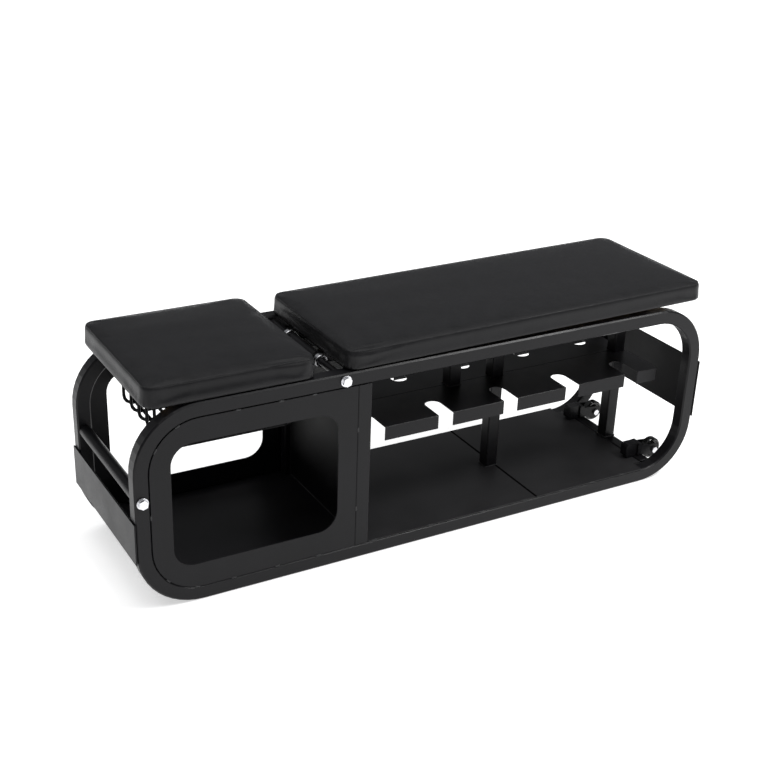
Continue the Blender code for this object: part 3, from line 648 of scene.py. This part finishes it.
# ---------------------------------------------------------------- welds
def bead(path, normal, width, height, closed_in=0.0004, ripple=0.0011):
    """One rippled weld bead along a path, flat side set into the metal. Returns verts and faces."""
    points = [Vector(p) for p in path]
    lengths = [0.0]
    for a, b in zip(points, points[1:]):
        lengths.append(lengths[-1] + (b - a).length)
    total = lengths[-1]
    count = max(6, int(total / 0.00055))
    normal = Vector(normal).normalized()
    verts = []
    faces = []
    ring = 7
    for i in range(count + 1):
        s = total * i / count
        j = max(k for k in range(len(lengths)) if lengths[k] <= s + 1e-12)
        j = min(j, len(points) - 2)
        t = (s - lengths[j]) / max(lengths[j + 1] - lengths[j], 1e-9)
        centre = points[j].lerp(points[j + 1], t)
        tangent = (points[j + 1] - points[j]).normalized()
        across = normal.cross(tangent).normalized()
        end = min(1.0, s / (0.6 * width), (total - s) / (0.6 * width))
        taper = math.sqrt(max(0.0, 1 - (1 - end) ** 2)) * 0.94 + 0.06
        swell = 1 + 0.13 * math.sin(2 * math.pi * s / ripple / 2)
        for k in range(ring):
            turn = math.pi * k / (ring - 1)
            verts.append(centre + across * (width / 2 * taper * math.cos(turn))
                         + normal * (height * taper * swell * math.sin(turn) - closed_in))
    for i in range(count):
        for k in range(ring):
            m = (k + 1) % ring
            faces.append((i * ring + k, i * ring + m, (i + 1) * ring + m, (i + 1) * ring + k))
    faces.append(tuple(range(ring)))
    faces.append(tuple(reversed(range(count * ring, (count + 1) * ring))))
    return verts, faces


def fillet(path, a_side, b_side, size):
    """A bead lying in the corner between two faces; the sides point away from each face."""
    normal = (Vector(a_side) + Vector(b_side)).normalized()
    return bead(path, normal, size * 1.5, size * 0.75, size * 0.1)


def join_shells(name, shells, look, body):
    verts = []
    faces = []
    for some_verts, some_faces in shells:
        offset = len(verts)
        verts += some_verts
        faces += [tuple(i + offset for i in face) for face in some_faces]
    return piece(name, verts, faces, look, body)


def panel_tacks(side):
    """Short tacks across the joint between cubby panel and side frame."""
    y = side * WIDTH / 2
    shells = []
    spots = []
    for x in (-0.4635, -0.3757, -0.3062):
        spots.append(((x, 0.3895), (1, 0)))
    for x in (-0.4781, -0.3850, -0.2946):
        spots.append(((x, 0.0305), (1, 0)))
    for z in (0.2942, 0.1174):
        spots.append(((-0.2105, z), (0, 1)))
    spots.append(((-0.6395, 0.2050), (0, 1)))
    for degrees in (115, 150, 224, 262):
        turn = math.radians(degrees)
        cx, cz = BEND_X, BEND_Z[1 if degrees < 180 else 0]
        spots.append(((cx + PANEL_EDGE_RADIUS * math.cos(turn), cz + PANEL_EDGE_RADIUS * math.sin(turn)),
                      (-math.sin(turn), math.cos(turn))))
    for (x, z), (dx, dz) in spots:
        half = 0.0055
        path = [(x - dx * half, y, z - dz * half), (x + dx * half, y, z + dz * half)]
        shells.append(bead(path, (0, side, 0), 0.0038, 0.0013, 0.0006))
    return shells


def floor_tacks(side):
    """Short tacks along the bay floor's edge on the bottom rail."""
    y = side * (WIDTH / 2 - 0.0008)
    shells = []
    for x in (-0.165, -0.030, 0.100, 0.2123, 0.310, 0.3971, 0.480):
        path = [(x - 0.007, y, 0.0312), (x + 0.007, y, 0.0312)]
        shells.append(bead(path, (0, side, 0.35), 0.0032, 0.0012, 0.0004))
    return shells


def inner_joint(side):
    """Continuous fillet behind the cubby panel, all round against the tube; it carries the painted joint
    shade.
    """
    y0 = side * (WIDTH / 2 - 0.0034)
    y1 = side * (WIDTH / 2 - 0.0070)
    cx, cz = CUBBY_CENTRE
    radius = PANEL_EDGE_RADIUS + 0.0003
    path = [(-0.2112, 0.0302), (-0.2112, 0.3898)]
    for bend_z, start in ((BEND_Z[1], 90), (BEND_Z[0], 180)):
        for k in range(11):
            turn = math.radians(start + 9 * k)
            path.append((BEND_X + radius * math.cos(turn), bend_z + radius * math.sin(turn)))
    verts = []
    for x, z in path:
        inward = Vector((cx - x, 0, cz - z)).normalized() * 0.0045
        verts += [Vector((x, y0, z)), Vector((x, y0, z)) + inward, Vector((x, y1, z))]
    faces = []
    count = len(path)
    for k in range(count):
        m = (k + 1) % count
        for a in range(3):
            b = (a + 1) % 3
            faces.append((k * 3 + a, k * 3 + b, m * 3 + b, m * 3 + a))
    return verts, faces


def partition_joints():
    """Fillets round the cubby side of the partition wall."""
    x, z, half = -0.1970, 0.0323, INNER_HALF
    shells = [fillet([(x, -half, z), (x, half, z)], (0, 0, 1), (-1, 0, 0), 0.0026)]
    for side in (-1, 1):
        y = side * half
        shells.append(fillet([(x, y, z), (x, y, 0.383)], (-1, 0, 0), (0, -side, 0), 0.0026))
    return shells


def square_collar(x0, x1, y0, y1, z, up, size):
    """Four fillets round a square post that meets a flat face."""
    shells = []
    face = (0, 0, up)
    shells.append(fillet([(x0, y0, z), (x1, y0, z)], face, (0, -1, 0), size))
    shells.append(fillet([(x0, y1, z), (x1, y1, z)], face, (0, 1, 0), size))
    shells.append(fillet([(x0, y0, z), (x0, y1, z)], face, (-1, 0, 0), size))
    shells.append(fillet([(x1, y0, z), (x1, y1, z)], face, (1, 0, 0), size))
    return shells


def crossbar_welds():
    """Fillets where the caster crossbar butts against both side frames."""
    shells = []
    low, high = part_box("caster_crossbar")
    for side in (-1, 1):
        y = side * INNER_HALF
        inward = (0, -side, 0)
        for x, out in ((low[0], -1), (high[0], 1)):
            path = [(x, y, low[2] + 0.002), (x, y, high[2] - 0.002)]
            shells.append(fillet(path, (out, 0, 0), inward, 0.0030))
        shells.append(fillet([(low[0], y, high[2]), (high[0], y, high[2])], (0, 0, 1), inward, 0.0030))
    return shells


def floor_seam_painted_shade():
    """Painted shade: a matt black strip between the two bay floor sheets and over the gap below them,
    standing in for the shadow in the seam.
    """
    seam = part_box("bay_floor_right")[0][0] - 0.0004
    x0, x1, half = seam - 0.0024, seam + 0.0024, WIDTH / 2 - 0.0006
    outline = ((x0, -half), (x1, -half), (x1, half), (x0, half))
    strip = [(x, y, z) for z in (0.0318, 0.0325) for x, y in outline]
    walls = [(0, 1, 5, 4), (1, 2, 6, 5), (2, 3, 7, 6), (3, 0, 4, 7), (0, 3, 2, 1), (4, 5, 6, 7)]
    piece("floor_seam_painted_shade", strip, walls, "gap_shade", "frame", smooth=False)


def frame_welds():
    """All the frame's weld beads in one piece, then the painted-shade strips behind the panels and over the
    floor seam.
    """
    shells = []
    for side in (-1, 1):
        shells += panel_tacks(side)
        shells += floor_tacks(side)
    shells += partition_joints()
    for node, z in (("rack_post_left", 0.0325), ("rack_post_right", 0.0342), ("rack_stub_post", 0.2572)):
        low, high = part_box(node)
        shells += square_collar(low[0], high[0], low[1], high[1], z, 1, 0.0034)
    for node in ("rack_post_left", "rack_post_right"):
        low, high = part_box(node)
        shells += square_collar(low[0], high[0], low[1], high[1], 0.2544, -1, 0.0030)
    shells += crossbar_welds()
    join_shells("weld_beads", shells, "weld", "frame")
    # Painted shade: black strips behind both panel joints stand in for the shadow in the gap.
    join_shells("panel_joint_painted_shade", [inner_joint(-1), inner_joint(1)], "gap_shade", "frame")
    floor_seam_painted_shade()


# ---------------------------------------------------------------- upholstery underside
def tilt(verts, x0, rise):
    """Shears points to the slope of the back pad's underside."""
    return [Vector((v[0], v[1], v[2] + rise * (v[0] - x0))) for v in verts]


def hem(name, node, body, half, rise):
    """The cover's turned-under margin: a thin band below the board's edge."""
    low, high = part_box(node)
    outer = rounded(low[0] + 0.011, high[0] - 0.010, -half + 0.010, half - 0.010, 0.022, 8)
    inner = rounded(low[0] + 0.033, high[0] - 0.033, -half + 0.033, half - 0.033, 0.012, 8)
    count = len(outer)
    verts = []
    for k in range(count):
        ragged = 0.0012 * math.sin(k * 2.3) + 0.0007 * math.sin(k * 5.1)
        ox, oy = outer[k]
        ix = inner[k][0] + ragged * (1 if inner[k][0] > 0 else -1)
        iy = inner[k][1] + ragged
        verts += [(ox, oy, MARGIN_FACE), (ix, iy, MARGIN_FACE)]
        verts += [(ix, iy, MARGIN_TOP), (ox, oy, MARGIN_TOP)]
    faces = []
    for k in range(count):
        m = (k + 1) % count
        for a in range(4):
            b = (a + 1) % 4
            faces.append((k * 4 + a, k * 4 + b, m * 4 + b, m * 4 + a))
    piece(name, tilt(verts, low[0], rise), faces, "leatherette", body, smooth=False)


def staples(name, node, body, half, rise):
    """Wire staples round the margin, each a flattened crown."""
    low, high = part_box(node)
    z = MARGIN_FACE
    shells = []
    x0, x1 = low[0] + STAPLE_INSET, high[0] - STAPLE_INSET
    y0, y1 = -half + STAPLE_INSET, half - STAPLE_INSET
    spots = []
    count_x = int((x1 - x0 - 0.04) / STAPLE_PITCH)
    count_y = int((y1 - y0 - 0.04) / STAPLE_PITCH)
    for k in range(count_x + 1):
        x = x0 + 0.02 + (x1 - x0 - 0.04) * k / count_x
        spots += [(x, y0, 0.12 * math.sin(k * 1.7)), (x, y1, 0.12 * math.cos(k * 2.1))]
    for k in range(count_y + 1):
        y = y0 + 0.02 + (y1 - y0 - 0.04) * k / count_y
        spots += [(x0, y, math.pi / 2 + 0.12 * math.sin(k * 2.9)), (x1, y, math.pi / 2 + 0.1 * math.cos(k))]
    for x, y, turn in spots:
        dx, dy = STAPLE_HALF * math.cos(turn), STAPLE_HALF * math.sin(turn)
        crown = [(x - dx, y - dy, z), (x + dx, y + dy, z)]
        wire, wire_faces = bead(crown, (0, 0, -1), 0.0012, 0.00018, 0.0, 1.0)
        shells.append((tilt(wire, low[0], rise), wire_faces))
    join_shells(name, shells, "zinc", body)


def dome_bolt(x, y, z, radius, height):
    """A domed bolt head with a washer and a socket, pointing down from a strap."""
    rings = [(0.0, radius * 1.55), (-0.0012, radius * 1.55), (-0.0012, radius * 1.02), (-0.0020, radius),
             (-0.0020 - height * 0.45, radius * 0.86), (-0.0020 - height * 0.8, radius * 0.58),
             (-0.0020 - height, radius * 0.42), (-0.0020 - height * 0.55, radius * 0.38)]
    steps = 18
    verts = []
    faces = []
    for dz, r in rings:
        for k in range(steps):
            turn = 2 * math.pi * k / steps
            verts.append(Vector((x + r * math.cos(turn), y + r * math.sin(turn), z + dz)))
    for i in range(len(rings) - 1):
        for k in range(steps):
            m = (k + 1) % steps
            faces.append((i * steps + k, i * steps + m, (i + 1) * steps + m, (i + 1) * steps + k))
    faces.append(tuple(range(steps)))
    faces.append(tuple(reversed(range((len(rings) - 1) * steps, len(rings) * steps))))
    return verts, faces


def underside():
    """Cover margins, staples and the bolts that hold the boards to their cross straps."""
    for word, node, body, rise in (("seat", "seat_cushion", "seat", 0.0),
                                   ("back", "back_cushion", "backrest", BACK_RISE)):
        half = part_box(node)[1][1]
        hem(word + "_cover_margin", node, body, half, rise)
        staples(word + "_staples", node, body, half, rise)
    for word, body in (("seat", "seat"), ("back", "backrest")):
        shells = []
        for end in ("left", "right"):
            low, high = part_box(word + "_cross_strap_" + end)
            x = (low[0] + high[0]) / 2
            for y in (-PAD_BOLT_Y, PAD_BOLT_Y):
                shells.append(dome_bolt(x, y, low[2] - 0.0002, 0.0056, 0.0036))
        bolts = join_shells(word + "_pad_bolts", shells, "zinc", body)
        bolts.data.set_sharp_from_angle(angle=math.radians(40))


# ---------------------------------------------------------------- stage
def look_matrix(azimuth, elevation, roll):
    """Camera axes for a place round the object, and the direction from the object to the camera."""
    a, e, r = (math.radians(v) for v in (azimuth, elevation, roll))
    back = Vector((math.sin(a) * math.cos(e), -math.cos(a) * math.cos(e), math.sin(e)))
    right = (-back).cross(Vector((0, 0, 1))).normalized()
    up = right.cross(-back)
    tilted_right = math.cos(r) * right + math.sin(r) * up
    tilted_up = -math.sin(r) * right + math.cos(r) * up
    return Matrix((tilted_right, tilted_up, back)).transposed(), back


def camera():
    data = bpy.data.cameras.new("camera")
    data.sensor_width = 36.0
    data.lens = 61.92
    data.shift_x = -0.02543
    data.shift_y = 0.03718
    obj = bpy.data.objects.new("camera", data)
    bpy.context.scene.collection.objects.link(obj)
    turn, back = look_matrix(-31.146, 25.672, 2.502)
    obj.matrix_world = Matrix.Translation(Vector((0, 0, 0.21)) + back * 2.861) @ turn.to_4x4()
    bpy.context.scene.camera = obj


def softbox(name, place, aim, size_x, size_y, power):
    data = bpy.data.lights.new(name, "AREA")
    data.shape = "RECTANGLE"
    data.size = size_x
    data.size_y = size_y
    data.energy = power
    obj = bpy.data.objects.new(name, data)
    bpy.context.scene.collection.objects.link(obj)
    obj.location = place
    obj.rotation_euler = (Vector(aim) - Vector(place)).to_track_quat("-Z", "Y").to_euler()


def studio():
    """Wide pale floor that glows like a light table, soft sky, overhead sun and one softbox."""
    verts = [(sx * FLOOR_HALF, sy * FLOOR_HALF, 0) for sx, sy in ((-1, -1), (1, -1), (1, 1), (-1, 1))]
    mesh = bpy.data.meshes.new("floor")
    mesh.from_pydata(verts, [], [(0, 1, 2, 3)])
    floor = bpy.data.objects.new("floor", mesh)
    bpy.context.scene.collection.objects.link(floor)
    mesh.materials.append(plain_floor("floor_look"))
    world = bpy.data.worlds.new("world")
    bpy.context.scene.world = world
    world.use_nodes = True
    world.node_tree.nodes["Background"].inputs["Color"].default_value = (0.95, 0.97, 1.0, 1.0)
    world.node_tree.nodes["Background"].inputs["Strength"].default_value = 0.20
    sky = bpy.data.lights.new("overhead", "SUN")
    sky.energy = 1.9
    sky.angle = math.radians(70)
    overhead = bpy.data.objects.new("overhead", sky)
    bpy.context.scene.collection.objects.link(overhead)
    softbox("key_soft", (1.86, -1.44, 2.70), (0.5, -0.18, 0.45), 1.5, 0.5, 60)
    bpy.context.scene.view_settings.view_transform = "Standard"


# ---------------------------------------------------------------- assembly
camera()
dress_cad()
cushions()
frame_welds()
underside()
studio()
